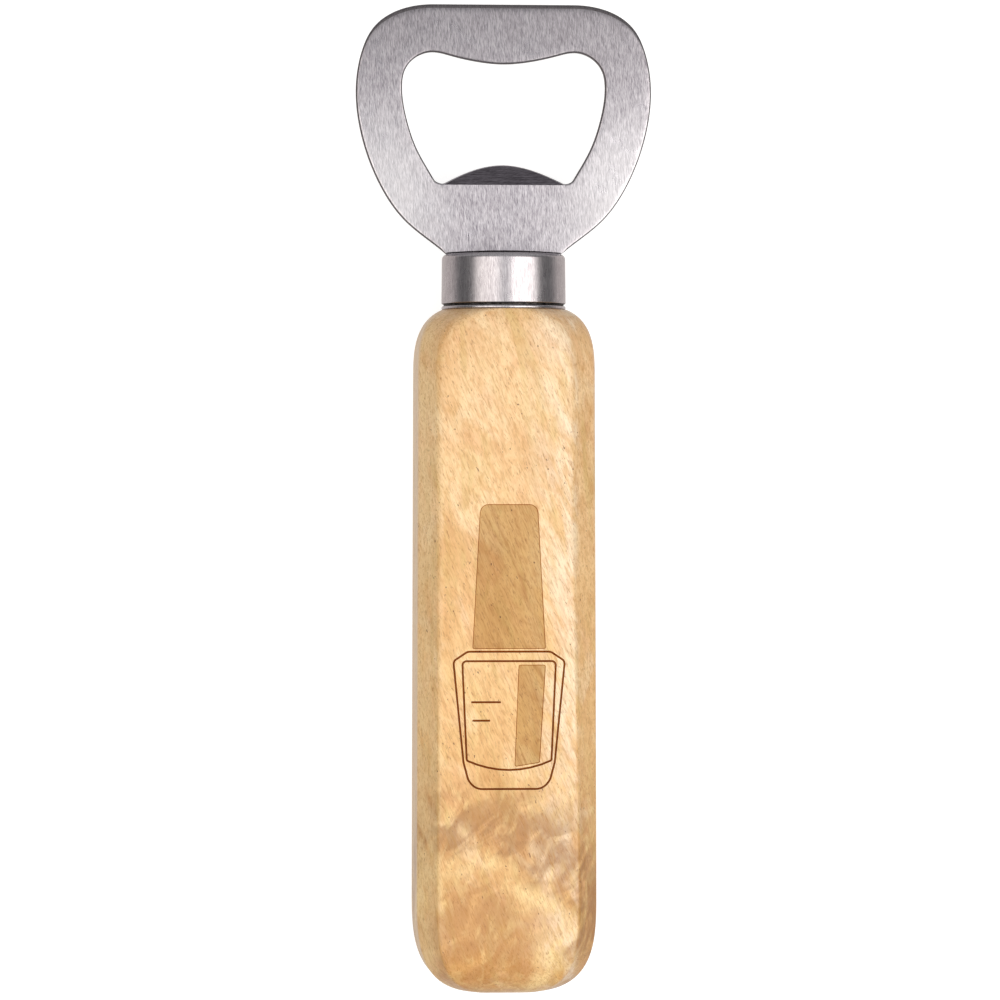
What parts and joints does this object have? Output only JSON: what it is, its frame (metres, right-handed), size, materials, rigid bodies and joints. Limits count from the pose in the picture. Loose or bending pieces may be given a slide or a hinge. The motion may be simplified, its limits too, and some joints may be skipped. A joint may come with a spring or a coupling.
{
  "type": "bottle opener",
  "caption": "Hand-held crown cap opener: stamped stainless head with a cap window and lifting lip, steel ferrule and a faceted light wood handle.",
  "frame": {"origin": "in the plane the opener rests on when it lies on its back, under the middle of its bounding box", "axes": "+Y from the butt of the handle to the head, +Z out of the front of the handle, +X to the right seen from the front"},
  "size_m": [0.0504, 0.168, 0.024],
  "materials": {
    "head_steel": "long-grain brushed",
    "ferrule_steel": "satin, as drawn",
    "handle_wood": "satin lacquer",
    "resin": "cast, hidden"
  },
  "bodies": {
    "root": {"opener_head": "head_steel", "ferrule": "ferrule_steel", "handle": "handle_wood", "epoxy_bedding": "resin"}
  },
  "joints": []
}
